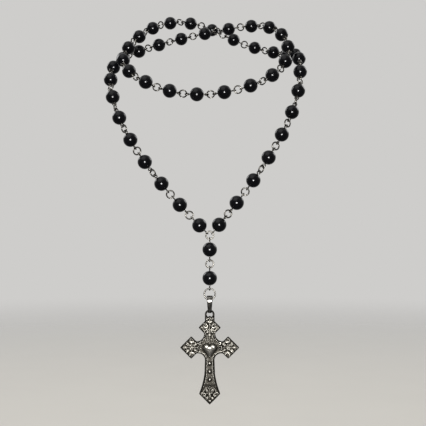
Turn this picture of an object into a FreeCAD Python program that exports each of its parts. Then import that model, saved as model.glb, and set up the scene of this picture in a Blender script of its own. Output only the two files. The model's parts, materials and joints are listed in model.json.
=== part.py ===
import FreeCAD, Part
import math
import os

from FreeCAD import Placement, Rotation, Vector

# A rosary worn doubled round a neck: one closed loop of beads that goes twice round, crosses itself
# behind the neck and hangs in a V, and a short drop of two beads with a crucifix below the V.
# Millimetres. +Z is up and -Y is the front. The origin is the middle of the neck that it is worn on.

# ---- beads and links ----
BEAD_D = 8.0
BEAD_HOLE_D = 0.85
PIN_WIRE_D = 0.7
EYE_OUTER_D = 2.8
EYE_STAND_OFF = 0.1  # gap between a bead and the eye of its pin
EYE_BEND_R = 0.5  # the bend between a pin's shank and its eye
EYE_MOUTH_DEG = 145.0  # where the wire of an eye ends, counted round the eye from its far side
RING_OUTER_D = 5.0
RING_WIRE_D = 0.8
RING_CUT = 0.1  # the butt joint of a jump ring
CRUCIFIX_RING_OUTER_D = 6.8

# ---- the loop ----
BEAD_COUNT = 48
STRAND_BEADS = 8  # beads down each side of the V
CHOKER_FIRST = 18  # the choker's beads, counted along the loop from the foot of its left strand
CHOKER_LAST = 28
RING_ROLL_DEG = 28.0  # how far the rings lie turned out of the neck's surface
RING_ROLL_STEP = 2.4

# The way of the loop: up the left strand, round the back, along the choker from right to left, round
# the back again outside the first turn, and down the right strand.
LEFT_STRAND = [
    (0.6, -55.3, -106.4),
    (-14.2, -53.7, -91.2),
    (-33.9, -48.6, -67.3),
    (-49.2, -38.9, -41.4),
    (-55.9, -20.3, -17.1),
]
INNER_NAPE = [
    (-52.5, 2.5, -2.5),
    (-39.0, 18.5, 6.5),
    (-20.0, 28.5, 14.0),
    (0.0, 31.2, 19.0),
    (19.0, 28.0, 22.0),
    (34.0, 19.0, 21.5),
    (44.0, 4.0, 15.0),
]
CHOKER = [
    (48.8, -14.5, 0.5),
    (38.7, -31.7, -16.6),
    (19.0, -38.8, -25.7),
    (0.0, -39.3, -28.8),
    (-21.1, -38.5, -26.7),
    (-41.5, -30.0, -16.6),
    (-49.6, -12.6, -4.6),
]
OUTER_NAPE = [
    (-44.0, 5.0, 9.5),
    (-34.0, 21.5, 20.5),
    (-18.0, 35.5, 27.0),
    (1.0, 45.5, 25.0),
    (22.0, 46.5, 15.5),
    (41.0, 36.0, 8.0),
    (53.0, 14.5, 2.5),
]
RIGHT_STRAND = [
    (55.3, -9.3, -3.4),
    (53.6, -28.5, -22.8),
    (42.4, -43.6, -52.0),
    (25.9, -50.0, -78.2),
    (3.8, -55.3, -106.4),
]

# ---- bail ----
BAIL_WIDTH_TOP = 3.4
BAIL_WIDTH_FOOT = 2.0
BAIL_STRAP = 0.45
BAIL_TOP_R = 1.75  # inside radius round the ring that it hangs on
BAIL_FOOT_R = 0.95  # inside radius round the crucifix's loop
BAIL_REACH = 6.0  # from the ring's wire to the loop's

# ---- crucifix, measured from the middle of its cross ----
PLATE = 2.0
FIELD_DEPTH = 0.45
RIM = 0.9
LOZENGE = 6.1  # half the diagonal of the lozenge that ends each arm
ARM_REACH = 10.1  # from the middle of the cross to the middle of an arm's lozenge
HEAD_REACH = 10.9
ARM_HALF = 3.3
NECK_HALF = 3.1
STEM_HALF = 2.6
STEM_TOP = 6.8  # how far below the middle the straight stem starts
STEM_FLARE = 14.5
FOOT_HALF = 5.8
FOOT_DROP = 25.3
TIP_DROP = 31.2
HEART_WIDTH = 7.6
HEART_HEIGHT = 7.2
HEART_LOBE_R = 2.1
HEART_RISE = 1.3  # how far the heart stands above the field
HEART_DOME_R = 7.0
HEART_DROP = 1.7  # from the middle of the cross down to the heart's own middle
BOSS_D = 1.8
BOSS_DROPS = (8.7, 13.1, 17.5)
LOOP_TOP = 20.7  # from the middle of the cross to the top of the loop
LOOP_WIRE_D = 1.0
LOOP_OUTER_D = 5.3

X, Y, Z = Vector(1, 0, 0), Vector(0, 1, 0), Vector(0, 0, 1)
FRONT = -Y

ring_mean = (RING_OUTER_D - RING_WIRE_D) / 2
crucifix_ring_mean = (CRUCIFIX_RING_OUTER_D - RING_WIRE_D) / 2
eye_mean = (EYE_OUTER_D - PIN_WIRE_D) / 2
eye_centre = BEAD_D / 2 + EYE_STAND_OFF + EYE_OUTER_D / 2


def square_to(direction, axis):
    """The part of a direction that is square to an axis, at unit length."""
    flat = direction - axis * direction.dot(axis)
    return flat.normalize()


def placed(shape, origin, x_axis, z_axis):
    """The shape with its own X and Z turned to the two axes, and its origin moved."""
    turn = Rotation(x_axis, z_axis.cross(x_axis), z_axis, "ZXY")
    return shape.transformed(Placement(origin, turn).toMatrix(), True)


def bead(centre, axis):
    ball = Part.makeSphere(BEAD_D / 2, centre, axis)
    drill = Part.makeCylinder(BEAD_HOLE_D / 2, 2 * BEAD_D, centre - axis * BEAD_D, axis)
    return ball.cut(drill)


def jump_ring(centre, normal, cut_towards, mean):
    """A round wire ring whose butt joint lies on the side that cut_towards points to."""
    sweep = 360 - math.degrees(RING_CUT / mean)
    ring = Part.makeTorus(mean, RING_WIRE_D / 2, Vector(), Z, -180, 180, sweep)
    return placed(ring, centre, square_to(cut_towards, normal), normal)


def eye_edges(centre, axis, normal):
    """Centre line of one end of an eye pin, from the shank to the end of the wire."""
    across = normal.cross(axis)

    def at(along, aside):
        return centre + axis * along + across * aside

    start = eye_centre - math.sqrt(eye_mean**2 + 2 * eye_mean * EYE_BEND_R)
    meet = math.atan2(-EYE_BEND_R, start - eye_centre)
    end = math.radians(EYE_MOUTH_DEG)
    middle = (meet + end) / 2

    def round_eye(angle):
        return at(eye_centre + eye_mean * math.cos(angle), eye_mean * math.sin(angle))

    half_bend = (math.pi + meet + math.pi / 2) / 2
    bend_middle = at(
        start + EYE_BEND_R * math.cos(half_bend), -EYE_BEND_R + EYE_BEND_R * math.sin(half_bend)
    )
    bend = Part.Arc(at(start, 0), bend_middle, round_eye(meet)).toShape()
    loop = Part.Arc(round_eye(meet), round_eye(middle), round_eye(end)).toShape()
    return start, bend, loop


def wire_along(edge, at_parameter):
    """Round wire swept along one edge."""
    point = edge.valueAt(at_parameter)
    tangent = edge.tangentAt(at_parameter)
    section = Part.Wire(Part.makeCircle(PIN_WIRE_D / 2, point, tangent))
    return Part.Wire(edge).makePipe(Part.Face(section))


def eye_pin(centre, axis, first_normal, last_normal):
    """Wire through a bead with an eye bent at each end, each eye turned to suit its own ring."""
    pieces = []
    for towards, normal in ((-axis, first_normal), (axis, last_normal)):
        start, bend, loop = eye_edges(centre, towards, square_to(normal, axis))
        pieces += [wire_along(bend, bend.FirstParameter), wire_along(loop, loop.FirstParameter)]
    shank = Part.makeCylinder(PIN_WIRE_D / 2, 2 * start, centre - axis * start, axis)
    return shank.fuse(pieces).removeSplitter().Solids[0]


def loop_way():
    """The loop's centre line as one smooth edge."""
    points = LEFT_STRAND + INNER_NAPE + CHOKER + OUTER_NAPE + RIGHT_STRAND
    curve = Part.BSplineCurve()
    curve.interpolate([Vector(*point) for point in points])
    return curve.toShape()


def pin_ends(way):
    """Where the pins take hold of their rings: the way is shared out as pin, ring, pin, and so on."""
    ring_step = 2 * ring_mean
    pin_step = (way.Length - (BEAD_COUNT - 1) * ring_step) / BEAD_COUNT
    ends = []
    for i in range(BEAD_COUNT):
        low = i * (pin_step + ring_step)
        high = min(low + pin_step, way.Length)
        ends.append([way.valueAt(way.getParameterByLength(s)) for s in (low, high)])
    return ends, pin_step


def ring_facing(i, along, place):
    """The normal of the ring after pin i: out from the neck, rolled a little about the chain."""
    outward = square_to(Vector(place.x, place.y, 0), along)
    roll = RING_ROLL_DEG * math.sin(RING_ROLL_STEP * i)
    return Rotation(along, roll).multVec(outward)


def v_ring_centre(ends):
    """The middle of the ring that joins both strands, so that both strands end on its wire."""
    left, right = ends[0][0], ends[-1][1]
    half = (right - left).Length / 2
    return (left + right) * 0.5 - Z * math.sqrt(ring_mean**2 - half**2)


def hull_outline(top_r, foot_r, reach):
    """A closed outline round two circles, one above the other, in the YZ plane."""
    lean = math.asin((top_r - foot_r) / reach)
    side, rise = math.cos(lean), math.sin(lean)
    top_back, top_front = (Vector(0, s * top_r * side, -top_r * rise) for s in (1, -1))
    foot_back, foot_front = (Vector(0, s * foot_r * side, -reach - foot_r * rise) for s in (1, -1))
    edges = [
        Part.Arc(top_front, Vector(0, 0, top_r), top_back).toShape(),
        Part.LineSegment(top_back, foot_back).toShape(),
        Part.Arc(foot_back, Vector(0, 0, -reach - foot_r), foot_front).toShape(),
        Part.LineSegment(foot_front, top_front).toShape(),
    ]
    return Part.Wire(edges)


def bail(origin):
    """A tapered strap bent into a loop, hung from the origin."""
    outer = hull_outline(BAIL_TOP_R + BAIL_STRAP, BAIL_FOOT_R + BAIL_STRAP, BAIL_REACH)
    inner = hull_outline(BAIL_TOP_R, BAIL_FOOT_R, BAIL_REACH)
    strap = Part.Face(outer).cut(Part.Face(inner)).Faces[0]
    strap.translate(X * (-BAIL_WIDTH_TOP / 2))
    strap = strap.extrude(X * BAIL_WIDTH_TOP)
    top, foot = BAIL_TOP_R + BAIL_STRAP, -BAIL_REACH - BAIL_FOOT_R - BAIL_STRAP
    corners = [
        (-BAIL_WIDTH_TOP / 2, top),
        (BAIL_WIDTH_TOP / 2, top),
        (BAIL_WIDTH_FOOT / 2, foot),
        (-BAIL_WIDTH_FOOT / 2, foot),
    ]
    depth = Y * (2 * BAIL_REACH)
    taper = Part.Face(Part.makePolygon([Vector(x, -BAIL_REACH, z) for x, z in corners + corners[:1]]))
    shape = strap.common(taper.extrude(depth)).Solids[0]
    shape.translate(origin)
    return shape


def half_outline():
    """The right half of the crucifix's edge from the top of its head to its tip."""
    notch = LOZENGE - NECK_HALF
    arm_notch = LOZENGE - ARM_HALF
    return [
        ((0, HEAD_REACH + LOZENGE), None),
        ((LOZENGE, HEAD_REACH), None),
        ((NECK_HALF, HEAD_REACH - notch), None),
        ((ARM_REACH - arm_notch, ARM_HALF), (NECK_HALF + 1.0, ARM_HALF + 1.4)),
        ((ARM_REACH, LOZENGE), None),
        ((ARM_REACH + LOZENGE, 0), None),
        ((ARM_REACH, -LOZENGE), None),
        ((ARM_REACH - arm_notch, -ARM_HALF), None),
        ((STEM_HALF, -STEM_TOP), (STEM_HALF + 1.1, -ARM_HALF - 0.9)),
        ((STEM_HALF + 0.3, -STEM_FLARE), None),
        ((FOOT_HALF, -FOOT_DROP), (STEM_HALF + 1.4, -FOOT_DROP + 5.4)),
        ((0, -TIP_DROP), None),
    ]


def plate_edge():
    """The crucifix's whole edge, as a closed wire in the XZ plane."""
    edges = []
    for side in (1, -1):
        rows = half_outline()
        for (start, _), (end, middle) in zip(rows, rows[1:]):
            a, b = Vector(side * start[0], 0, start[1]), Vector(side * end[0], 0, end[1])
            if middle is None:
                edges.append(Part.LineSegment(a, b).toShape())
            else:
                edges.append(Part.Arc(a, Vector(side * middle[0], 0, middle[1]), b).toShape())
    return Part.Wire(Part.__sortEdges__(edges))


def heart():
    """A puffed heart standing on the field, a little below the middle of the cross."""
    lobe_x = HEART_WIDTH / 2 - HEART_LOBE_R
    lobe_z = HEART_HEIGHT / 2 - HEART_LOBE_R
    cleft = Vector(0, 0, lobe_z + math.sqrt(HEART_LOBE_R**2 - lobe_x**2))
    tip = Vector(0, 0, -HEART_HEIGHT / 2)
    drop = lobe_z - tip.z
    lean = math.atan2(lobe_x, drop)
    below = math.pi / 2 - math.acos(HEART_LOBE_R / math.hypot(lobe_x, drop)) + lean
    edges = []
    for side in (1, -1):
        centre = Vector(side * lobe_x, 0, lobe_z)
        touch = centre + Vector(side * math.cos(below), 0, -math.sin(below)) * HEART_LOBE_R
        crest = centre + Vector(side * math.sin(below / 2), 0, math.cos(below / 2)) * HEART_LOBE_R
        edges.append(Part.Arc(cleft, crest, touch).toShape())
        edges.append(Part.LineSegment(touch, tip).toShape())
    field_y = FIELD_DEPTH - PLATE / 2
    block = Part.Face(Part.Wire(Part.__sortEdges__(edges))).extrude(FRONT * HEART_RISE)
    block.translate(Y * field_y)
    dome = Part.makeSphere(HEART_DOME_R, Y * (field_y - HEART_RISE + HEART_DOME_R))
    shape = block.common(dome).Solids[0]
    shape.translate(-Z * HEART_DROP)
    return shape


def crucifix(loop_centre):
    """A cast cross with lozenge ends, a sunk field, a heart, three bosses and a loop to hang by."""
    edge = plate_edge()
    plate = Part.Face(edge).extrude(Y * PLATE)
    plate.translate(FRONT * (PLATE / 2))
    field = Part.Face(edge.makeOffset2D(-RIM, 2)).extrude(Y * FIELD_DEPTH)
    field.translate(FRONT * (PLATE / 2))
    shape = plate.cut(field)
    field_y = FIELD_DEPTH - PLATE / 2
    for drop in BOSS_DROPS:
        shape = shape.fuse(Part.makeSphere(BOSS_D / 2, Vector(0, field_y, -drop)))
    mean = (LOOP_OUTER_D - LOOP_WIRE_D) / 2
    loop_z = LOOP_TOP - LOOP_OUTER_D / 2
    shape = shape.fuse([heart(), Part.makeTorus(mean, LOOP_WIRE_D / 2, Z * loop_z, Y)])
    shape = shape.removeSplitter().Solids[0]
    shape.translate(loop_centre - Z * (loop_z + mean))
    return shape


def save(name, solids):
    """Writes one node, as one solid or as a group of like solids."""
    shape = solids[0] if len(solids) == 1 else Part.makeCompound(solids)
    print(name, len(solids), "valid" if shape.isValid() else "NOT VALID", round(shape.Volume, 2))
    shape.exportStep(f"parts/{name}.step")


def stretch_of(i):
    """Which stretch of the loop bead i is on, and its number down a strand or along the choker."""
    if i < STRAND_BEADS:
        return "left", STRAND_BEADS - i
    if i >= BEAD_COUNT - STRAND_BEADS:
        return "right", i - (BEAD_COUNT - STRAND_BEADS) + 1
    if i < CHOKER_FIRST:
        return "inner_nape", i
    if i > CHOKER_LAST:
        return "outer_nape", i
    return "choker", CHOKER_LAST - i + 1


def build_loop(nodes, way):
    """Adds the beads, eye pins and rings of the whole loop. Returns the middle of the V ring."""
    ends, pin_step = pin_ends(way)
    v_ring = v_ring_centre(ends)
    play = (EYE_OUTER_D / 2 - PIN_WIRE_D) - RING_WIRE_D / 2 - (pin_step / 2 - eye_centre)
    print("pin step", round(pin_step, 3), "play in each eye", round(play, 3))

    grips = [(ends[0][0] - v_ring).cross(Y)]
    for i in range(BEAD_COUNT - 1):
        last, first = ends[i][1], ends[i + 1][0]
        along, middle = (first - last).normalize(), (first + last) * 0.5
        facing = ring_facing(i, along, middle)
        grip = facing.cross(along)
        grips.append(grip)
        holder = i + 1 if i + 1 < STRAND_BEADS else i  # a ring belongs to the pin that it hangs from
        where, number = stretch_of(holder)
        if i == STRAND_BEADS - 1:
            where = "inner_nape"
        strand = where in ("left", "right")
        node = f"{where}_link_{number}" if strand else f"{where}_rings"
        nodes.setdefault(node, []).append(jump_ring(middle, facing, grip, ring_mean))
    grips.append((ends[-1][1] - v_ring).cross(Y))

    for i, (low, high) in enumerate(ends):
        where, number = stretch_of(i)
        centre, axis = (low + high) * 0.5, (high - low).normalize()
        strand = where in ("left", "right")
        bead_node = f"{where}_bead_{number}" if strand or where == "choker" else f"{where}_beads"
        pin_node = f"{where}_link_{number}" if strand else f"{where}_eye_pins"
        nodes.setdefault(bead_node, []).append(bead(centre, axis))
        pin = eye_pin(centre, axis, grips[i], grips[i + 1])
        nodes.setdefault(pin_node, []).append(pin)
    nodes["v_ring"] = [jump_ring(v_ring, FRONT, X, ring_mean)]
    return v_ring, pin_step


def build_drop(nodes, v_ring, pin_step):
    """Adds the two beads, rings, bail and crucifix that hang straight down from the V ring."""
    grip = v_ring - Z * ring_mean
    for number, mean, ring_node in ((1, ring_mean, "drop_ring"), (2, crucifix_ring_mean, "crucifix_ring")):
        centre = grip - Z * (pin_step / 2)
        nodes[f"drop_bead_{number}"] = [bead(centre, -Z)]
        nodes[f"drop_eye_pin_{number}"] = [eye_pin(centre, -Z, X, X)]
        ring_centre = grip - Z * (pin_step + mean)
        nodes[ring_node] = [jump_ring(ring_centre, FRONT, X, mean)]
        grip = ring_centre - Z * mean
    nodes["bail"] = [bail(grip)]
    nodes["crucifix"] = [crucifix(grip - Z * BAIL_REACH)]


def build():
    nodes = {}
    v_ring, pin_step = build_loop(nodes, loop_way())
    build_drop(nodes, v_ring, pin_step)
    return nodes


if __name__ == "__main__":
    os.makedirs("parts", exist_ok=True)
    for name, solids in build().items():
        save(name, solids)
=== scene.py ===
import json
import math

import bpy
import numpy as np
from bpy.props import FloatProperty, FloatVectorProperty, IntProperty, PointerProperty
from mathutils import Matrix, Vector, geometry, noise

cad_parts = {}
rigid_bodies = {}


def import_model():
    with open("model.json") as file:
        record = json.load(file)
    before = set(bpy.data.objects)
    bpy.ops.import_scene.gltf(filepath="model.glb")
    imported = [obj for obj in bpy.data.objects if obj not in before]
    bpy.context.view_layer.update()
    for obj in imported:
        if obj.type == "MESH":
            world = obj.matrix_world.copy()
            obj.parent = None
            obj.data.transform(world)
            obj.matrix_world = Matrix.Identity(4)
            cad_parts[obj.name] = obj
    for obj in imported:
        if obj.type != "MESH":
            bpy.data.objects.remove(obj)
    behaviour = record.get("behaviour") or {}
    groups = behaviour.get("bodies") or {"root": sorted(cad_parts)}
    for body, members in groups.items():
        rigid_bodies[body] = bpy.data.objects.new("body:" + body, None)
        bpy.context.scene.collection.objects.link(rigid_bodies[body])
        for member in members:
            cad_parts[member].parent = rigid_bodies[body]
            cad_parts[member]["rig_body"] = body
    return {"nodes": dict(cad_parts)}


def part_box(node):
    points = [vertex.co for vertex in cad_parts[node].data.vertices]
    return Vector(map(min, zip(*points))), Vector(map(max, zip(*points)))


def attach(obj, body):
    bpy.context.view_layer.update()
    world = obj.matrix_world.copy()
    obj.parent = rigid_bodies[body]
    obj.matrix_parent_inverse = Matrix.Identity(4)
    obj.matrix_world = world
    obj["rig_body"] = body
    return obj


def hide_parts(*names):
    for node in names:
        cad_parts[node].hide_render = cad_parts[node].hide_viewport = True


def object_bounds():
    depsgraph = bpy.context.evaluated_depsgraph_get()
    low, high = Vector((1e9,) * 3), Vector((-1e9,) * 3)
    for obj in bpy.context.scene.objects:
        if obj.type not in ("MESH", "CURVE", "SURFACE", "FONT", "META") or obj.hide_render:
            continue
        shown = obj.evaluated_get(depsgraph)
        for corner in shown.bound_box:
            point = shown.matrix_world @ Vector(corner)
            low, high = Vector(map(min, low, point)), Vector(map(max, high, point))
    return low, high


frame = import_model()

bl_info = {
    "name": "Worn Rosary",
    "version": (1, 0, 0),
    "blender": (4, 5, 0),
    "location": "View3D > Sidebar > Rosary",
    "description": "Builds the beads, wire links, bail and cast crucifix of a rosary round its frame",
    "category": "Object",
}

MM = 0.001
CAD_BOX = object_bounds()
WELD = 1e-7  # metres between corners that are one corner
RING_REACH = 5 * MM  # no jump ring reaches this far from its middle, and every eye pin does
SKIN_SHARE = 0.98  # corners further out than this share of a bead's reach lie on its round
FACE_SLACK = 1.001  # corners within this of the nearest ones belong to the same cut across a pin


# ---- colours, nodes and materials ----


def linear_from_hex(text):
    """An sRGB hex colour, such as 8A8780, as linear red, green and blue."""
    channels = [int(text[i : i + 2], 16) / 255 for i in (0, 2, 4)]
    return [c / 12.92 if c <= 0.04045 else ((c + 0.055) / 1.055) ** 2.4 for c in channels]


def add_node(tree, kind, links=(), inputs=(), **settings):
    """Adds a node, sets its own settings and inputs, and links other nodes' outputs to its inputs."""
    node = tree.nodes.new(kind)
    for name, value in settings.items():
        setattr(node, name, value)
    for key, value in dict(inputs).items():
        node.inputs[key].default_value = value
    for key, output in dict(links).items():
        tree.links.new(output, node.inputs[key])
    return node


def new_material(name, metallic, ior=None):
    """An empty material with its principled shader, its node tree and its object coordinates."""
    material = bpy.data.materials.new(name)
    material.use_nodes = True
    tree = material.node_tree
    tree.nodes.clear()
    shader = add_node(tree, "ShaderNodeBsdfPrincipled", inputs={"Metallic": metallic})
    if ior:
        shader.inputs["IOR"].default_value = ior
    add_node(tree, "ShaderNodeOutputMaterial", links={"Surface": shader.outputs[0]})
    place = add_node(tree, "ShaderNodeTexCoord")
    return material, tree, shader, place.outputs["Object"]


def per_mm(size):
    """The scale of a pattern whose features are that many millimetres across, in metres."""
    return 1 / (size * MM)


def noise_of(tree, vector, scale, detail=2.0):
    """A slow random value over a place, between 0 and 1."""
    links, inputs = {"Vector": vector}, {"Scale": scale, "Detail": detail}
    return add_node(tree, "ShaderNodeTexNoise", links, inputs).outputs["Fac"]


def remap(tree, value, low, high, to_low=0.0, to_high=1.0, **settings):
    """A value stretched from one range to another."""
    inputs = {"From Min": low, "From Max": high, "To Min": to_low, "To Max": to_high}
    return add_node(tree, "ShaderNodeMapRange", {"Value": value}, inputs, **settings).outputs[0]


def stretched(tree, vector, scale):
    """A place whose patterns are drawn out along the axes that have a small scale."""
    return add_node(tree, "ShaderNodeMapping", {"Vector": vector}, {"Scale": scale}).outputs[0]


def two_colours(tree, share, first, second):
    """The first colour where the share is 0, and the second where it is 1."""
    mix = add_node(tree, "ShaderNodeMix", {"Factor": share}, data_type="RGBA")
    mix.inputs[6].default_value = (*first, 1)
    mix.inputs[7].default_value = (*second, 1)
    return mix.outputs[2]


def bumps(tree, height, strength, depth_mm):
    """The normal of a skin with a pattern of that depth."""
    inputs = {"Strength": strength, "Distance": depth_mm * MM}
    return add_node(tree, "ShaderNodeBump", {"Height": height}, inputs).outputs[0]


def join(tree, shader, colour, rough, normal):
    """Links a finish to its shader."""
    tree.links.new(colour, shader.inputs["Base Color"])
    tree.links.new(rough, shader.inputs["Roughness"])
    tree.links.new(normal, shader.inputs["Normal"])


def black_glass():
    """Pressed black glass, fire polished: jet black, with one hard highlight, and a film of handling
    that makes the gloss a little uneven from bead to bead."""
    beads = bpy.context.scene.rosary_beads
    material, tree, shader, place = new_material("black glass, fire polished", 0.0, ior=1.5)
    film = noise_of(tree, place, per_mm(2.5), 3.0)
    gloss = remap(tree, film, 0.35, 0.7, beads.roughness, 2 * beads.roughness)
    body = two_colours(tree, noise_of(tree, place, per_mm(6.0), 1.0), beads.colour, beads.tint)
    # Fire polish leaves a faint waviness of about a millimetre.
    skin = bumps(tree, noise_of(tree, place, per_mm(1.2), 1.0), 0.12, 0.02)
    shader.inputs["Specular IOR Level"].default_value = beads.shine
    join(tree, shader, body, gloss, skin)
    return material


def drawn_wire():
    """Stainless wire as drawn: bright, with lines along its length from the die, and a grey film of
    tarnish in patches."""
    wire = bpy.context.scene.rosary_wire
    material, tree, shader, place = new_material("stainless wire, drawn", 1.0)
    along = add_node(tree, "ShaderNodeAttribute", attribute_name="wire").outputs["Vector"]
    # Die lines are some hundredths of a millimetre apart, drawn here at 0.15 mm so that they show.
    lines = noise_of(tree, stretched(tree, along, (0.05, 1.0, 1.0)), 1 / 0.15)
    patch = remap(tree, noise_of(tree, place, per_mm(1.8), 4.0), 0.42, 0.68)
    metal = two_colours(tree, patch, wire.colour, wire.tarnish)
    rough = remap(tree, lines, 0.3, 0.7, wire.roughness, wire.roughness + 0.14)
    join(tree, shader, metal, rough, bumps(tree, lines, 0.15, 0.02))
    return material


def polished_strip():
    """Steel strip, stamped, bent and tumbled: bright and smooth, with fine rubbing marks across it."""
    bail = bpy.context.scene.rosary_bail
    material, tree, shader, place = new_material("steel strip, tumbled", 1.0)
    # Rubbing marks are drawn 0.2 mm apart so that they show.
    marks = noise_of(tree, stretched(tree, place, (1.0, 1.0, 0.15)), per_mm(0.2))
    metal = two_colours(tree, noise_of(tree, place, per_mm(1.5), 3.0), bail.colour, bail.tarnish)
    rough = remap(tree, marks, 0.3, 0.7, bail.roughness, bail.roughness + 0.1)
    join(tree, shader, metal, rough, bumps(tree, marks, 0.12, 0.02))
    return material


def antique_silver():
    """Silver plate on a zinc casting, blackened and then worn back by rubbing: the high places are bright
    and smooth, the ground is a dull grey with vertical brush marks, and the recesses stay black and matt.
    The same value also carries
    painted shade: black round the bosses and round the heart, and a dark rim."""
    cross = bpy.context.scene.rosary_crucifix
    material, tree, shader, place = new_material("antique silver plate, cast and rubbed", 1.0)
    # This value is the rubbing wear, with painted shade mixed in round the bosses, round the heart and on
    # the rim.
    rubbed_and_shaded = add_node(tree, "ShaderNodeAttribute", attribute_name="rubbed_and_shaded").outputs["Fac"]
    # The blackening breaks up at about the grain of the casting.
    grain = noise_of(tree, place, per_mm(0.7), 4.0)
    terms = {0: rubbed_and_shaded, 1: remap(tree, grain, 0.3, 0.7, -0.16, 0.16)}
    bright = add_node(tree, "ShaderNodeMath", terms, operation="ADD", use_clamp=True).outputs[0]
    ramp = add_node(tree, "ShaderNodeValToRGB", {"Fac": bright})
    ramp.color_ramp.elements[0].color = (*cross.oxide, 1)
    ramp.color_ramp.elements[1].color = (*cross.colour, 1)
    ramp.color_ramp.elements.new(0.45).color = (*cross.ground, 1)
    # Brush marks are some hundredths of a millimetre wide, drawn here at 0.22 mm so that they show.
    brush = noise_of(tree, stretched(tree, place, (1.0, 1.0, 0.12)), per_mm(0.22))
    matt = remap(tree, bright, 0.0, 1.0, cross.roughness + 0.33, cross.roughness)
    rough = add_node(tree, "ShaderNodeMath", {0: brush, 2: matt}, {1: 0.1}, operation="MULTIPLY_ADD")
    marks = add_node(tree, "ShaderNodeMath", {0: grain, 1: brush}, operation="ADD")
    join(tree, shader, ramp.outputs[0], rough.outputs[0], bumps(tree, marks.outputs[0], 0.3, 0.03))
    return material


# ---- reading the frame ----


def unit(vector):
    return vector / np.linalg.norm(vector)


def solids(node):
    """The separate solids of a CAD node, each as an array of its corners in metres."""
    mesh = frame["nodes"][node].data
    corners = np.empty(3 * len(mesh.vertices))
    mesh.vertices.foreach_get("co", corners)
    corners = corners.reshape(-1, 3)
    _, welded = np.unique(np.round(corners / WELD).astype(np.int64), axis=0, return_inverse=True)
    welded = welded.ravel()
    edges = np.empty(2 * len(mesh.edges), np.int64)
    mesh.edges.foreach_get("vertices", edges)
    first, last = welded[edges.reshape(-1, 2)].T
    label = np.arange(welded.max() + 1)
    while True:
        lower = label.copy()
        np.minimum.at(lower, first, label[last])
        np.minimum.at(lower, last, label[first])
        lower = lower[lower]
        if (lower == label).all():
            break
        label = lower
    own = label[welded]
    return [corners[own == k] for k in np.unique(own)]


def body_of(node):
    """The name of the CAD body that a node belongs to."""
    return frame["nodes"][node]["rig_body"]


def box_middle(points):
    return (points.min(0) + points.max(0)) / 2


def ball_middle(points):
    """The middle of the ball that a bead's outermost corners lie on."""
    reach = np.linalg.norm(points - box_middle(points), axis=1)
    skin = points[reach > SKIN_SHARE * reach.max()]
    terms = np.column_stack([2 * skin, np.ones(len(skin))])
    return np.linalg.lstsq(terms, (skin**2).sum(1), rcond=None)[0][:3]


def is_ring(points):
    return np.linalg.norm(points - box_middle(points), axis=1).max() < RING_REACH


def read_ring(points):
    """A jump ring's middle, normal, direction of its cut, mean radius and wire radius."""
    axes = np.linalg.svd(points - points.mean(0), full_matrices=False)[2]
    placed = points @ axes.T
    middle = box_middle(placed)
    half = np.ptp(placed, axis=0) / 2
    wire = half[2]
    turned = np.degrees(np.arctan2(*(placed - middle).T[[1, 0]]))
    # Each cut face repeats the corners round it, so most corners lie at the angles of the two cuts.
    angles, counts = np.unique(np.round(turned, 1), return_counts=True)
    cuts = np.radians(angles[np.argsort(counts)[-2:]])
    cut = unit(np.cos(cuts).sum() * axes[0] + np.sin(cuts).sum() * axes[1])
    return middle @ axes, axes[2], cut, max(half[:2]) - wire, wire


def read_pin(points, bead_middles):
    """An eye pin's middle and, for each end, the way out along the pin and the way across its eye."""
    rough_middle = box_middle(points)
    middle = min(bead_middles, key=lambda m: np.linalg.norm(m - rough_middle))
    away = points - middle
    reach = np.linalg.norm(away, axis=1)
    ends = away[reach < FACE_SLACK * reach.min()]
    side = ends @ ends[0]
    axis = unit(ends[side > 0].mean(0) - ends[side < 0].mean(0))
    wire = bpy.context.scene.rosary_wire
    eyes = []
    for out in (-axis, axis):
        along = away @ out
        eye = away[along > wire.bend_end]
        flat = np.linalg.svd(eye - eye.mean(0), full_matrices=False)[2][2]
        across = unit(np.cross(flat, out))
        bend = away[(along > 0) & (along < wire.bend_end)]
        if (bend @ across).mean() > 0:
            across = -across
        eyes.append((out, across))
    return middle, eyes


# ---- making meshes ----


class Shape:
    """Corners, faces and one value per corner, gathered until they become one mesh."""

    def __init__(self):
        self.corners, self.faces, self.values = [], [], []

    def add(self, corners, faces, values=None):
        start = len(self.corners)
        self.corners += [tuple(c) for c in corners]
        self.faces += [[start + i for i in face] for face in faces]
        if values is not None:
            self.values += list(values)


def make_piece(name, shape, material, body, node, sharp_deg, attribute=None):
    """One visible piece in the row frame, riding on its body in place of its CAD node."""
    mesh = bpy.data.meshes.new(name)
    mesh.from_pydata(shape.corners, [], shape.faces)
    mesh.validate()
    if attribute:
        kind = "FLOAT_VECTOR" if attribute == "wire" else "FLOAT"
        layer = mesh.attributes.new(attribute, kind, "POINT")
        layer.data.foreach_set("vector" if attribute == "wire" else "value", np.ravel(shape.values))
    mesh.shade_smooth()
    mesh.set_sharp_from_angle(angle=math.radians(sharp_deg))
    mesh.materials.append(material)
    piece = bpy.data.objects.new(name, mesh)
    bpy.context.scene.collection.objects.link(piece)
    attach(piece, body)
    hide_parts(node)
    return piece


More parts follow.
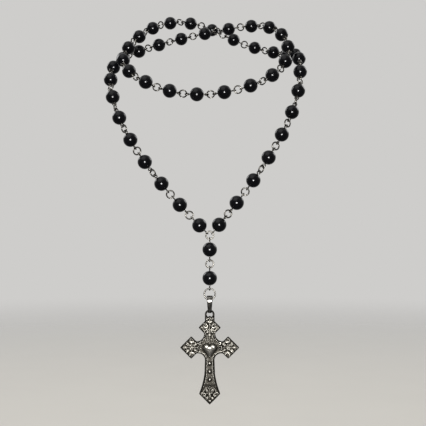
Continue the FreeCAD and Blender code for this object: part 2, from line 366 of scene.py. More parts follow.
def sweep(path, radii, sides):
    """Round wire along a path, with a flat face at each end. Each corner's value is its place on the
    wire in millimetres: the length along, and the two ways across."""
    path = np.asarray(path, float)
    radii = np.broadcast_to(radii, len(path))
    tangents = np.gradient(path, axis=0)
    tangents /= np.linalg.norm(tangents, axis=1)[:, None]
    least = np.argmin(abs(tangents[0]))
    up = np.eye(3)[least]
    ups = []
    for tangent in tangents:
        up = unit(up - tangent * (up @ tangent))
        ups.append(up)
    ups = np.array(ups)
    sideways = np.cross(tangents, ups)
    turn = np.arange(sides) * math.tau / sides
    cos, sin = np.cos(turn)[None, :, None], np.sin(turn)[None, :, None]
    corners = path[:, None] + radii[:, None, None] * (ups[:, None] * cos + sideways[:, None] * sin)
    length = np.concatenate([[0], np.cumsum(np.linalg.norm(np.diff(path, axis=0), axis=1))])
    values = np.empty((len(path), sides, 3))
    values[..., 0] = length[:, None]
    values[..., 1] = radii[:, None] * np.cos(turn)
    values[..., 2] = radii[:, None] * np.sin(turn)
    faces = [
        (i * sides + j, i * sides + k, (i + 1) * sides + k, (i + 1) * sides + j)
        for i in range(len(path) - 1)
        for j, k in zip(range(sides), [*range(1, sides), 0])
    ]
    faces.append(tuple(reversed(range(sides))))
    faces.append(tuple(range((len(path) - 1) * sides, len(path) * sides)))
    return corners.reshape(-1, 3), faces, values.reshape(-1, 3) / MM


def with_cut_ends(path, radius, bevel):
    """The path and radii of wire that was cut square and tumbled, so that its ends are bevelled."""
    path = [np.asarray(p, float) for p in path]
    first, last = unit(path[1] - path[0]), unit(path[-2] - path[-1])
    path = [path[0], path[0] + first * bevel, *path[1:-1], path[-1] + last * bevel, path[-1]]
    radii = np.full(len(path), radius)
    radii[[0, -1]] = radius - bevel
    return path, radii


def lathe(profile, middle, axis, sides):
    """A closed profile of (radius, height) turned round an axis."""
    least = np.argmin(abs(axis))
    across = unit(np.cross(axis, np.eye(3)[least]))
    other = np.cross(axis, across)
    corners, faces = [], []
    for j in range(sides):
        angle = j * math.tau / sides
        outward = across * math.cos(angle) + other * math.sin(angle)
        corners += [middle + outward * r + axis * h for r, h in profile]
    count = len(profile)
    for j in range(sides):
        here, there = j * count, (j + 1) % sides * count
        for i in range(count):
            k = (i + 1) % count
            faces.append((here + i, there + i, there + k, here + k))
    return corners, faces


# ---- beads ----

WANDER = 3 * MM  # how far apart the high and low places of an uneven bead are


def bead_profile(beads):
    """Half of a drilled bead's section: its round, the rounded mouths of the hole, and the bore."""
    radius, bore, mouth = beads.diameter / 2, beads.bore / 2, beads.mouth
    edge = math.asin((bore + mouth) / radius)
    angles = np.linspace(edge, math.pi - edge, beads.steps)
    round_side = [(radius * math.sin(a), radius * math.cos(a)) for a in angles]
    rim = radius * math.cos(edge)
    turns = np.linspace(0, math.pi / 2, 5)[1:]
    lip = [(bore + mouth * (1 - math.sin(t)), rim - mouth * (1 - math.cos(t))) for t in turns]
    lower = [(r, -h) for r, h in lip]
    bore_side = [(bore, h) for h in np.linspace(-rim + 2 * mouth, rim - 2 * mouth, 6)]
    return round_side + lower + bore_side + lip[::-1]


def make_beads(context, nodes):
    """Drilled glass beads where the frame has its beads, one piece for each CAD node."""
    beads = context.scene.rosary_beads
    glass = black_glass()
    profile = bead_profile(beads)
    ways = pin_ways()
    for node in nodes:
        shape = Shape()
        for points in solids(node):
            middle = ball_middle(points)
            corners, faces = lathe(profile, middle, ways[tuple(middle)], beads.sides)
            shape.add([uneven(c, middle, beads.unevenness) for c in corners], faces)
        make_piece(f"glass_{node}", shape, glass, body_of(node), node, 50)


def pin_ways():
    """For the middle of each bead, the way that its pin runs."""
    ways = {}
    for node in WIRE_NODES:
        for points in solids(node):
            if not is_ring(points):
                middle, eyes = read_pin(points, BEAD_MIDDLES)
                ways[tuple(middle)] = eyes[1][0]
    return ways


def uneven(corner, middle, amount):
    """Moves a corner out or in by a slow random amount, as on glass that was shaped by hand."""
    wander = noise.noise(Vector(corner) / WANDER)
    return middle + (corner - middle) * (1 + amount * wander)


# ---- wire ----

EYE_END_DEG = 145  # where the wire of an eye ends, counted round the eye from its far side


def eye_path(wire):
    """Centre line of one end of a pin, along it and across it from the middle of its bead."""
    mean = (wire.eye - wire.diameter) / 2
    start = wire.eye_reach - math.sqrt(mean**2 + 2 * mean * wire.bend)
    lean = math.atan2(wire.bend, wire.eye_reach - start)
    bend = [
        (start + wire.bend * math.cos(a), wire.bend * (math.sin(a) - 1))
        for a in np.linspace(math.pi / 2, lean, 7)
    ]
    turn = [
        (wire.eye_reach + mean * math.cos(a), mean * math.sin(a))
        for a in np.linspace(lean - math.pi, math.radians(EYE_END_DEG), 40)
    ]
    return bend + turn[1:]


def pin_path(middle, eyes, wire):
    halves = [
        [middle + out * along + across * aside for along, aside in eye_path(wire)] for out, across in eyes
    ]
    return halves[0][::-1] + halves[1]


def ring_path(middle, normal, cut, mean, wire):
    """A ring's centre line, from one side of its cut round to the other, sprung slightly apart."""
    across = np.cross(normal, cut)
    half_gap = wire.ring_gap / mean / 2
    path = []
    for angle in np.linspace(half_gap, math.tau - half_gap, 73):
        outward = cut * math.cos(angle) + across * math.sin(angle)
        path.append(middle + outward * mean + normal * wire.ring_spring * (angle / math.tau - 0.5))
    return path


def make_wire(context, nodes):
    """Eye pins and jump rings where the frame has them, one piece for each CAD node."""
    wire = context.scene.rosary_wire
    steel = drawn_wire()
    for node in nodes:
        shape = Shape()
        for points in solids(node):
            if is_ring(points):
                middle, normal, cut, mean, radius = read_ring(points)
                path = ring_path(middle, normal, cut, mean, wire)
            else:
                middle, eyes = read_pin(points, BEAD_MIDDLES)
                path, radius = pin_path(middle, eyes, wire), wire.diameter / 2
            shape.add(*sweep(*with_cut_ends(path, radius, wire.bevel), wire.sides))
        make_piece(f"steel_{node}", shape, steel, body_of(node), node, 40, "wire")


# ---- bail ----


def make_bail(context):
    """The strap that joins the crucifix to its ring: bent round, wide at the top and narrow below."""
    bail = context.scene.rosary_bail
    low, high = (np.array(corner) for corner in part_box("bail"))
    half_strap = bail.strap / 2
    half_depth = (high[1] - low[1]) / 2 - half_strap
    foot_r = bail.foot_depth / 2 - half_strap
    middle = np.array([(low[0] + high[0]) / 2, (low[1] + high[1]) / 2, high[2] - half_strap - bail.bow])
    reach = middle[2] - low[2] - foot_r - half_strap
    lean = 0.0
    for _ in range(20):
        width = math.hypot(half_depth * math.cos(lean), bail.bow * math.sin(lean))
        lean = math.asin((width - foot_r) / reach)
    rows = [(a, 0, half_depth, bail.bow) for a in np.linspace(-lean, math.pi + lean, 49)]
    rows += [(a, -reach, foot_r, foot_r) for a in np.linspace(math.pi + lean, math.tau - lean, 25)]
    side = section_of_strap(bail)
    shape = Shape()
    for angle, drop, depth, height in rows:
        outward = np.array([0, math.cos(angle), math.sin(angle)])
        width = math.hypot(depth * outward[1], height * outward[2])
        on_oval = np.array([0, depth**2 * outward[1], height**2 * outward[2]]) / width
        place = middle + np.array([0, 0, drop]) + on_oval
        share = (place[2] - low[2]) / (high[2] - low[2])
        half_width = ((1 - share) * bail.width_foot + share * (high[0] - low[0])) / 2
        shape.corners += [
            tuple(place + np.array([half_width * across, 0, 0]) + outward * out) for across, out in side
        ]
    count, turns = len(side), len(rows)
    for i in range(turns):
        here, there = i * count, (i + 1) % turns * count
        for j in range(count):
            k = (j + 1) % count
            shape.faces.append((here + j, here + k, there + k, there + j))
    make_piece("strip_bail", shape, polished_strip(), "bail", "bail", 40)


def section_of_strap(bail):
    """The strap's section: flat inside, crowned outside, with rounded edges. Widths are in shares."""
    half = bail.strap / 2
    crown_end, crown_fall, corner, flat_end = 0.86, 0.35, 0.97, 0.88
    upper, lower = half * 0.45, -half * 0.6
    outside = [(x, half * (1 - crown_fall * x * x)) for x in np.linspace(crown_end, -crown_end, 9)]
    left = [(-corner, upper), (-1, 0), (-corner, lower)]
    inside = [(-flat_end, -half), (0, -half), (flat_end, -half)]
    right = [(corner, lower), (1, 0), (corner, upper)]
    return outside + left + inside + right


# ---- crucifix, in millimetres from the middle of its cross ----

# Each corner of the right half of the edge, from the side of the loop down to the tip. Where a second
# place is given, the edge bends through it on its way there.
EDGE = [
    ((2.65, 18.05), None),
    ((2.6, 14.4), None),
    ((6.1, 10.9), None),
    ((3.1, 7.9), None),
    ((7.3, 3.3), (4.1, 4.7)),
    ((10.1, 6.1), None),
    ((16.2, 0), None),
    ((10.1, -6.1), None),
    ((7.3, -3.3), None),
    ((2.6, -6.8), (3.7, -4.2)),
    ((2.9, -14.5), None),
    ((5.8, -25.3), (4.0, -19.9)),
    ((0, -31.2), None),
]
LOOP_MIDDLE = 18.05
LOOP_R = 2.65
EYE_R = 1.65

LEAF, CURL = "leaf", "curl"
# Leaves and curls of the four ends: kind, middle, degrees that it points from straight up towards its
# own side, length and width. All but those on the middle line are made on both sides.
HEAD_LEAVES = [
    (CURL, 0, 15.1, 0, 3.7, 3.3),
    (CURL, 2.4, 11.9, 40, 3.6, 2.6),
    (CURL, 1.95, 8.7, 130, 2.9, 2.3),
    (LEAF, 4.6, 10.7, 95, 1.7, 1.1),
    (LEAF, 0, 12.4, 0, 1.7, 1.0),
    (LEAF, 0, 6.7, 180, 2.0, 1.6),
]
ARM_LEAVES = [
    (CURL, 9.7, 4.1, -6, 3.7, 3.1),
    (CURL, 9.7, -4.1, 186, 3.7, 3.1),
    (LEAF, 12.35, 2.05, 46, 3.5, 1.6),
    (LEAF, 12.35, -2.05, 134, 3.5, 1.6),
    (LEAF, 13.5, 0, 90, 2.6, 1.2),
    (LEAF, 7.8, 1.5, -62, 2.8, 1.2),
    (LEAF, 7.8, -1.5, -118, 2.8, 1.2),
    (LEAF, 10.6, 1.0, 10, 1.9, 0.8),
    (LEAF, 10.6, -1.0, 170, 1.9, 0.8),
    (CURL, 5.7, -0.2, -90, 2.4, 2.2),
]
FOOT_LEAVES = [
    (LEAF, 0, -21.6, 0, 2.0, 0.9),
    (LEAF, 1.5, -23.5, 28, 2.9, 1.5),
    (CURL, 3.45, -25.6, 60, 3.5, 2.2),
    (LEAF, 0, -25.8, 0, 2.7, 1.2),
    (LEAF, 1.65, -27.8, 128, 2.8, 1.2),
    (LEAF, 0, -29.3, 180, 2.0, 1.4),
]
BOSS_DROPS = (8.7, 13.1, 17.5)
BOSS_R = 0.9
SCROLLS = [
    [(2.6, 7.2), (2.5, 6.2), (2.9, 5.0), (3.7, 3.9), (4.8, 3.0), (6.0, 2.5), (6.9, 2.6), (7.3, 3.2)],
    [(6.2, 2.4), (5.9, 1.8), (5.2, 1.6), (4.7, 2.0), (4.9, 2.5)],
    [(2.3, 14.2), (2.1, 15.4), (1.5, 16.1), (0, 17.0)],
]
# Thin stems that the leaves grow from.
STEMS = [
    [(10.0, -2.7), (9.7, -1.2), (9.3, 0), (9.7, 1.2), (10.0, 2.7)],
    [(9.3, 0), (11.3, 0), (12.3, 0)],
    [(9.4, 0.2), (10.4, 0.7), (11.3, 1.2)],
    [(9.4, -0.2), (10.4, -0.7), (11.3, -1.2)],
    [(6.9, -0.2), (8.2, 0), (9.3, 0)],
    [(14.6, 0.9), (12.9, 3.1), (11.4, 4.4)],
    [(14.6, -0.9), (12.9, -3.1), (11.4, -4.4)],
    [(8.4, 3.2), (7.9, 2.4), (7.2, 2.0)],
    [(0, 13.2), (0, 10.6), (0, 7.6)],
    [(0, 9.8), (0.9, 10.0), (1.5, 10.8)],
    [(0, 9.4), (0.6, 8.9), (1.1, 8.7)],
    [(1.5, 14.2), (2.4, 13.9), (3.3, 13.0)],
    [(3.6, 11.0), (3.6, 10.0), (2.9, 9.4)],
    [(0, -20.6), (0, -23.6), (0, -27.6)],
    [(0, -24.9), (0.9, -24.8), (1.9, -25.2)],
    [(0, -26.6), (0.6, -27.0), (1.0, -27.4)],
    [(0.4, -22.4), (1.4, -21.7), (2.5, -22.2), (3.2, -23.5), (3.4, -24.4)],
    [(3.6, -27.0), (2.9, -28.0), (1.9, -28.9)],
]
LOZENGE_R = 6.1  # from the middle of a lozenge end to its corners
HEAD_Z, ARM_X = 10.9, 10.1  # middles of the lozenge ends
LOZENGE_RIM = 0.5  # how far the sunk ground of an end keeps from its corners
SUNK_EDGE = (-0.3, 1.1)
FOOT_STARTS, STEM_STARTS = (-19.8, -22.4), (-3.5, -6.0)  # heights over which each one sets in
PLATE_HALF, TIP_DROP = 1.0, 31.2  # half the thickness, and the middle of the cross over its tip
FIELD, RECESS, RIM_TOP, RIM_FOOT = 0.55, 0.18, 1.0, 0.5  # heights over the middle plane
FAN_MIDDLE, FAN_LINES, FAN_RISE = -3.5, 44, 0.035
FAN_BOTTOM, FAN_TOP, FAN_SIDE = (1.9, 2.6), (7.6, 6.6), (3.2, 2.6)  # where the rays fade out
RIM_WIDTH, RIM_WIDER_BELOW = 0.62, 0.28
INNER_GAP, INNER_HALF, INNER_RISE = 0.28, 0.26, 0.2  # the fine line inside the rim
LEAF_RISE, LEAF_TAPER = 0.5, 0.28
VEIN_DEPTH, VEIN_WIDTH, VEIN_END = 0.1, 0.22, 0.8
BAND_MIDDLE, BAND_HALF, SEED_RISE, SEED_R = 0.68, 0.32, 0.7, 0.22  # a curl, as shares of its size
SCROLL_HALF, STEM_HALF, STEM_SHARE = 0.34, 0.24, 0.7
CLEAR_OF_RIM = (0.25, 0.75)  # over this depth inside the edge the leaves come up
BOSS_RISE, BOSS_EDGE = 0.75, 0.02  # how domed a boss is, and from where in it is rubbed
# Painted shade: a ring of black painted on the field round each boss, deepest at its foot.
BOSS_SHADE_REACH, BOSS_SHADE_DEPTH = 0.75, 0.9  # how far the black round a boss reaches, and how deep it is
PUFF = 1.9  # how far in from its edge the heart is rounded
HEART_TOE, HEART_LOW, HEART_SPAN = 0.12, -5.4, 7.0  # its height at the point, and where it rises
HEART_EDGE, HEART_CLEAR = 0.12, 0.35  # rubbed from here in, and nothing else is this far out
# Painted shade: black painted on the field round the heart.
HEART_SHADE_REACH, HEART_SHADE_DEPTH = 0.9, 0.85  # the black round the heart
FIELD_RUBBED, SUNK_DULLER, FAN_BRIGHTER = 0.42, 0.34, 0.14
# Painted shade: the rim is kept near black and its crest is lifted only a little. The fine line and the
# leaves are worn bright.
SHADED_RIM_CREST, LINE_RUBBED, LEAF_RUBBED = 0.28, 4, 1.7
RIM_BLEND, LEAF_BLEND = 0.08, 0.12  # fillets where the rim and the leaves meet the ground
LOOP_THIN, LOOP_STARTS = 0.58, (18.0, 15.8)  # the loop is thinner than the cross
EDGE_LINES = (0.07, 0.16, 0.28)  # lines of corners beside each edge, this far in from it
CORNER_REACH, STRAIGHT = 0.5, 0.93  # rounding of the sharp corners, and what counts as none


def arc_through(start, middle, end, count):
    """Points of the circle through three places, from the start to just before the end."""
    (ax, ay), (bx, by), (cx, cy) = start, middle, end
    d = 2 * (ax * (by - cy) + bx * (cy - ay) + cx * (ay - by))
    a2, b2, c2 = ax**2 + ay**2, bx**2 + by**2, cx**2 + cy**2
    ux = (a2 * (by - cy) + b2 * (cy - ay) + c2 * (ay - by)) / d
    uy = (a2 * (cx - bx) + b2 * (ax - cx) + c2 * (bx - ax)) / d
    first, last = math.atan2(ay - uy, ax - ux), math.atan2(cy - uy, cx - ux)
    via = math.atan2(by - uy, bx - ux)
    if (via - first) % math.tau > (last - first) % math.tau:
        sweep_by = (last - first) % math.tau - math.tau
    else:
        sweep_by = (last - first) % math.tau
    radius = math.hypot(ax - ux, ay - uy)
    turns = first + sweep_by * np.arange(count) / count
    return [(ux + radius * math.cos(t), uy + radius * math.sin(t)) for t in turns]


def spaced(corners, step):
    """The closed outline through the corners, with a point at least every step."""
    points = []
    for a, b in zip(corners, corners[1:] + corners[:1]):
        count = max(1, math.ceil(math.dist(a, b) / step))
        (ax, az), (bx, bz) = a, b
        points += [(ax + (bx - ax) * i / count, az + (bz - az) * i / count) for i in range(count)]
    return points


def cross_outline():
    """The whole edge of the crucifix, anticlockwise from the right of its loop over the top."""
    right = []
    for (start, _), (end, via) in zip(EDGE, EDGE[1:]):
        right += arc_through(start, via, end, 24) if via else [start]
    left = [(-x, z) for x, z in right]
    over = np.linspace(0, math.pi, 40)[1:-1]
    top = [(LOOP_R * math.cos(a), LOOP_MIDDLE + LOOP_R * math.sin(a)) for a in over]
    return rounded(top + left + [EDGE[-1][0]] + right[::-1], CORNER_REACH)


def rounded(outline, reach):
    """The closed outline with its sharp corners rounded off, as a casting has them."""
    smooth = []
    for a, b, c in zip(outline[-1:] + outline[:-1], outline, outline[1:] + outline[:1]):
        before, after = unit(np.subtract(b, a)), unit(np.subtract(c, b))
        if before @ after > STRAIGHT:
            smooth.append(b)
            continue
        for t in np.linspace(0, 1, 7):
            smooth.append(tuple(b - before * reach * (1 - t) ** 2 + after * reach * t**2))
    return smooth


def eye_outline():
    """The hole of the loop: round above, and pointed up from below like a chevron."""
    over = np.linspace(math.radians(-25), math.radians(205), 40)
    arch = [(EYE_R * math.cos(a), LOOP_MIDDLE + EYE_R * math.sin(a)) for a in over]
    return arch + [(-1.0, 16.75), (0, 17.3), (1.0, 16.75)]


def depth_inside(points, outline):
    """How far each point is inside a closed outline, and less than nothing outside it."""
    x, z = points.T
    nearest = np.full(len(points), np.inf)
    inside = np.zeros(len(points), bool)
    for (ax, az), (bx, bz) in zip(outline, outline[1:] + outline[:1]):
        dx, dz = bx - ax, bz - az
        share = np.clip(((x - ax) * dx + (z - az) * dz) / (dx * dx + dz * dz), 0, 1)
        nearest = np.minimum(nearest, (x - ax - share * dx) ** 2 + (z - az - share * dz) ** 2)
        if az != bz:
            crosses = (az > z) != (bz > z)
            inside ^= crosses & (x < ax + (z - az) * dx / dz)
    return np.sqrt(nearest) * np.where(inside, 1, -1)


def ease(low, high, value):
    """0 below low, 1 above high and a smooth change between them. Low may be the greater."""
    share = np.clip((value - low) / (high - low), 0, 1)
    return share * share * (3 - 2 * share)


def blended_max(a, b, blend):
    """The greater of two heights, with a fillet where they meet."""
    near = np.maximum(blend - abs(a - b), 0) / blend
    return np.maximum(a, b) + near * near * blend / 4


def leaf_height(points, kind, x, z, degrees, length, width):
    """How high a leaf or a curl stands over its ground at each point."""
    turn = math.radians(degrees)
    out = np.array([math.sin(turn), math.cos(turn)])
    across = np.array([out[1], -out[0]])
    away = points - (x, z)
    along, aside = away @ out / (length / 2), away @ across / (width / 2)
    swell = 1 - LEAF_TAPER * along
    form = np.hypot(along, aside / np.clip(swell, 0.3, None))
    if kind == LEAF:
        dome = np.sqrt(np.clip(1 - form**2, 0, None))
        vein = VEIN_DEPTH * np.exp(-((aside / VEIN_WIDTH) ** 2))
        return LEAF_RISE * dome - vein * (form < VEIN_END)
    band = np.sqrt(np.clip(1 - ((form - BAND_MIDDLE) / BAND_HALF) ** 2, 0, None))
    seed = SEED_RISE * np.sqrt(np.clip(1 - (form / SEED_R) ** 2, 0, None))
    return LEAF_RISE * np.maximum(band, seed)


def line_height(points, route, half_width, height):
    """How high a thin raised line along a route stands over its ground at each point."""
    x, z = points.T
    nearest = np.full(len(points), np.inf)
    for (ax, az), (bx, bz) in zip(route, route[1:]):
        dx, dz = bx - ax, bz - az
        share = np.clip(((x - ax) * dx + (z - az) * dz) / (dx * dx + dz * dz), 0, 1)
        nearest = np.minimum(nearest, np.hypot(x - ax - share * dx, z - az - share * dz))
    return height * np.sqrt(np.clip(1 - (nearest / half_width) ** 2, 0, None))


def heart_outline(cross):
    """The edge of the heart: two round lobes that run down to a point."""
    half, radius = cross.heart_width / MM / 2, cross.heart_lobe / MM
    height, drop = cross.heart_height / MM, cross.heart_drop / MM
    lobe_x, lobe_z, tip = half - radius, height / 2 - radius - drop, -height / 2 - drop
    cleft = math.atan2(math.sqrt(radius**2 - lobe_x**2), -lobe_x)
    to_tip = math.atan2(tip - lobe_z, -lobe_x)
    side = to_tip + math.acos(radius / math.hypot(lobe_x, tip - lobe_z))
    right = [
        (lobe_x + radius * math.cos(a), lobe_z + radius * math.sin(a)) for a in np.linspace(cleft, side, 40)
    ]
    return right + [(0, tip)] + [(-x, z) for x, z in right[:0:-1]]


def ends_sunk(x, z):
    """1 in the sunk grounds of the four ends, 0 on the field between them."""
    ax = abs(x)
    head = ease(*SUNK_EDGE, LOZENGE_R - (ax + abs(z - HEAD_Z)) - LOZENGE_RIM)
    arm = ease(*SUNK_EDGE, LOZENGE_R - (abs(ax - ARM_X) + abs(z)) - LOZENGE_RIM)
    return np.maximum(np.maximum(head, arm), ease(*FOOT_STARTS, z))


def fan(x, z):
    """Fine rays above the heart, between -1 and 1."""
    rays = np.cos(np.arctan2(x, z - FAN_MIDDLE) * FAN_LINES)
    return rays * ease(*FAN_BOTTOM, z) * ease(*FAN_TOP, z) * ease(*FAN_SIDE, abs(x))


def thinning(z):
    return LOOP_THIN + (1 - LOOP_THIN) * ease(*LOOP_STARTS, z)


def with_rim(depth, z, sunk, ground, rubbed_and_shaded):
    """The ground with the rim and its fine inner line: height, brightness of what is raised, and rubbing
    wear, with the rim kept near black as painted shade.
    """
    width = RIM_WIDTH + RIM_WIDER_BELOW * ease(*STEM_STARTS, z)
    crest = np.sin(np.pi * np.clip(depth / width, 0, 1)) ** 0.6
    rim = np.where(depth < width, RIM_FOOT + (RIM_TOP - RIM_FOOT) * crest, -1)
    inner = np.clip(1 - ((depth - width - INNER_GAP) / INNER_HALF) ** 2, 0, None)
    inner = ground + INNER_RISE * np.sqrt(inner) * (1 - 0.5 * sunk)
    height = blended_max(np.where(depth < width / 2, rim, ground), rim, RIM_BLEND)
    height = np.maximum(height, inner)
    # Painted shade: the rim is coloured near black at its outer edge and only a little lighter on its
    # crest.
    lifted = np.maximum(np.where(depth < width, SHADED_RIM_CREST * crest**2, 0), LINE_RUBBED * (inner - ground))
    return height, lifted, np.where(depth < width, 0, rubbed_and_shaded)


def leaves_and_lines(points):
    """Heights of every leaf, curl, scroll and stem, on both sides."""
    parts = []
    for kind, mx, mz, degrees, length, wide in HEAD_LEAVES + ARM_LEAVES + FOOT_LEAVES:
        for side in (1, -1) if mx else (1,):
            parts.append(leaf_height(points, kind, side * mx, mz, side * degrees, length, wide))
    lines = ((SCROLL_HALF, LEAF_RISE, SCROLLS), (STEM_HALF, STEM_SHARE * LEAF_RISE, STEMS))
    for side in (1, -1):
        for half_width, rise, routes in lines:
            for route in routes:
                mirrored = [(side * a, b) for a, b in route]
                parts.append(line_height(points, mirrored, half_width, rise))
    return parts


def with_bosses(x, z, height, rubbed_and_shaded):
    """The raised balls down the stem, each in a ring of painted shade on the field round its foot."""
    for drop in BOSS_DROPS:
        round_it = BOSS_R**2 - x**2 - (z + drop) ** 2
        boss = BOSS_RISE * np.sqrt(np.clip(round_it, 0, None))
        height = np.maximum(height, FIELD + boss)
        # Painted shade: the field is coloured darker near each boss, darkest at its foot.
        boss_shade = ease(BOSS_SHADE_REACH, 0, np.sqrt(x**2 + (z + drop) ** 2) - BOSS_R)
        rubbed_and_shaded = np.where(round_it > BOSS_EDGE, 1, rubbed_and_shaded * (1 - BOSS_SHADE_DEPTH * boss_shade))
    return height, rubbed_and_shaded


def with_heart(points, height, rubbed_and_shaded, lifted, cross):
    """The puffed heart, which leans back towards its point, with painted shade on the field round it."""
    inside = depth_inside(points, heart_outline(cross))
    puff = 1 - np.clip(inside / PUFF, 0, 1)
    puff = np.sqrt(1 - puff**2)
    lean = HEART_TOE + (1 - HEART_TOE) * np.clip((points[:, 1] - HEART_LOW) / HEART_SPAN, 0, 1)
    heart = FIELD + cross.heart_rise / MM * puff * lean
    height = np.where(inside > 0, np.maximum(height, heart), height)
    # Painted shade: the field round the heart is coloured darker, darkest at its edge.
    shade = HEART_SHADE_DEPTH * ease(HEART_SHADE_REACH, 0, -inside)
    rubbed_and_shaded = np.where(inside > HEART_EDGE, 1, rubbed_and_shaded * (1 - shade))
    return height, rubbed_and_shaded, np.where(inside > -HEART_CLEAR, 0, lifted)


def relief(points, outline, eye, cross):
    """Height of the crucifix's front over its middle plane, and how bright it is coloured: worn by rubbing,
    with painted shade round the bosses, round the heart and on the rim.
    """
    x, z = points.T
    depth = np.minimum(depth_inside(points, outline), -depth_inside(points, eye))
    sunk, rays = ends_sunk(x, z), fan(x, z)
    ground = FIELD - (FIELD - RECESS) * sunk
    ground = ground + FAN_RISE * rays
    rubbed_and_shaded = FIELD_RUBBED - SUNK_DULLER * sunk + FAN_BRIGHTER * rays
    height, lifted, rubbed_and_shaded = with_rim(depth, z, sunk, ground, rubbed_and_shaded)
    clear = ease(*CLEAR_OF_RIM, depth)
    for part in leaves_and_lines(points):
        part = part * clear
        height = blended_max(height, ground + part, LEAF_BLEND)
        lifted = np.maximum(lifted, LEAF_RUBBED * part)
    height, rubbed_and_shaded = with_bosses(x, z, height, rubbed_and_shaded)
    height, rubbed_and_shaded, lifted = with_heart(points, height, rubbed_and_shaded, lifted, cross)
    return height * thinning(z), np.clip(np.maximum(rubbed_and_shaded, lifted), 0, 1)


def back_relief(points, outline, eye):
    """Height of the crucifix's back over its middle plane: a plain sunk field in a soft rim."""
    depth = np.minimum(depth_inside(points, outline), -depth_inside(points, eye))
    crest = ease(0, 0.35, depth) * ease(1.5, 0.9, depth)
    height = RIM_FOOT + (RIM_TOP - RIM_FOOT) * np.maximum(crest, 0.45 * ease(0, 0.3, depth))
    return height * thinning(points[:, 1]), 0.62 + 0.3 * crest


def filled_points(outline, eye, step):
    """Places for the corners of one face: both edges, lines beside them and a triangular grid."""
    edges = [spaced(outline, 1.6 * step), spaced(eye, 1.6 * step)]
    beside = []
    for line, outside in zip(edges, (1, -1)):
        line = np.array(line)
        way = np.roll(line, -1, axis=0) - np.roll(line, 1, axis=0)
        way /= np.linalg.norm(way, axis=1)[:, None]
        inward = np.stack([-way[:, 1], way[:, 0]], axis=1) * outside
        beside += [(line + inward * d, d) for d in EDGE_LINES]
    (low_x, low_z), (high_x, high_z) = np.min(outline, axis=0), np.max(outline, axis=0)
    rows = np.arange(low_z, high_z, step * math.sqrt(0.75))
    grid = [
        (x + step / 2 * (i % 2), z) for i, z in enumerate(rows) for x in np.arange(low_x, high_x, step)
    ]
    last = EDGE_LINES[-1]
    kept = []
    for points, least in [*beside, (np.array(grid), last + 0.6 * step)]:
        depth = np.minimum(depth_inside(points, outline), -depth_inside(points, eye))
        kept.append(points[depth > least * 0.97] if least > last else points[abs(depth - least) < 0.01])
    return [len(e) for e in edges], np.concatenate([*map(np.array, edges), *kept])


def face_mesh(outline, eye, step):
    """Triangles over one face of the crucifix, whose first corners are those of its two edges."""
    (count, eye_count), points = filled_points(outline, eye, step)
    rings = [list(range(count)), list(range(count, count + eye_count))]
    links = [(a, b) for ring in rings for a, b in zip(ring, ring[1:] + ring[:1])]
    places, _, faces, origins, _, _ = geometry.delaunay_2d_cdt(
        [Vector(p) for p in points], links, [], 1, 1e-6
    )
    places = np.array([tuple(p) for p in places])
    middles = np.array([places[list(f)].mean(0) for f in faces])
    in_eye = depth_inside(middles, eye) > 0
    faces = [tuple(f) for f, hole in zip(faces, in_eye) if not hole]
    order = {source[0]: i for i, source in enumerate(origins) if source}
    return places, faces, [[order[i] for i in ring] for ring in rings]


def make_crucifix(context):
    """The cast crucifix: front and back faces with their relief, joined by a wall round the edges."""
    cross = context.scene.rosary_crucifix
    outline, eye = cross_outline(), eye_outline()
    low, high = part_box("crucifix")
    middle = Vector(((low.x + high.x) / 2, high.y - PLATE_HALF * MM, low.z + TIP_DROP * MM))
    shape = Shape()
    edges = []
    for front, step in ((1, cross.grain), (-1, 4 * cross.grain)):
        places, faces, rings = face_mesh(outline, eye, step / MM)
        if front > 0:
            height, rubbed_and_shaded = relief(places, outline, eye, cross)
        else:
            height, rubbed_and_shaded = back_relief(places, outline, eye)
            faces = [f[::-1] for f in faces]
        start = len(shape.corners)
        corners = [(middle.x + x * MM, middle.y - front * h * MM, middle.z + z * MM)
                   for (x, z), h in zip(places, height)]
        shape.add(corners, faces, rubbed_and_shaded)
        edges.append([[start + i for i in ring] for ring in rings])
    join_edges(shape, edges)
    make_piece("silver_crucifix", shape, antique_silver(), "crucifix", "crucifix", 60, "rubbed_and_shaded")


def join_edges(shape, edges):
    """Walls between the two faces' edges, which go round at different steps."""
    for front_ring, back_ring in zip(*edges):
        front = np.array([shape.corners[i] for i in front_ring])
        back = np.array([shape.corners[i] for i in back_ring])
        i = j = 0
        n, m = len(front), len(back)
        share_f = along_ring(front)
        share_b = along_ring(back)
        while i < n or j < m:
            a, b = front_ring[i % n], back_ring[j % m]
            if j == m or (i < n and share_f[i + 1] <= share_b[j + 1]):
                shape.faces.append([a, b, front_ring[(i + 1) % n]])
                i += 1
            else:
                shape.faces.append([a, b, back_ring[(j + 1) % m]])
                j += 1


def along_ring(points):
    """How far round each corner of a closed edge is, as a share, with 1 at the end."""
    flat = points[:, [0, 2]]
    steps = np.linalg.norm(np.roll(flat, -1, axis=0) - flat, axis=1)
    return np.concatenate([[0], np.cumsum(steps)]) / steps.sum()


# ---- stage ----

BRIGHT_SIDE = (0, 0.8, 0.6)  # the way to the bright side of the room, behind the object and above it


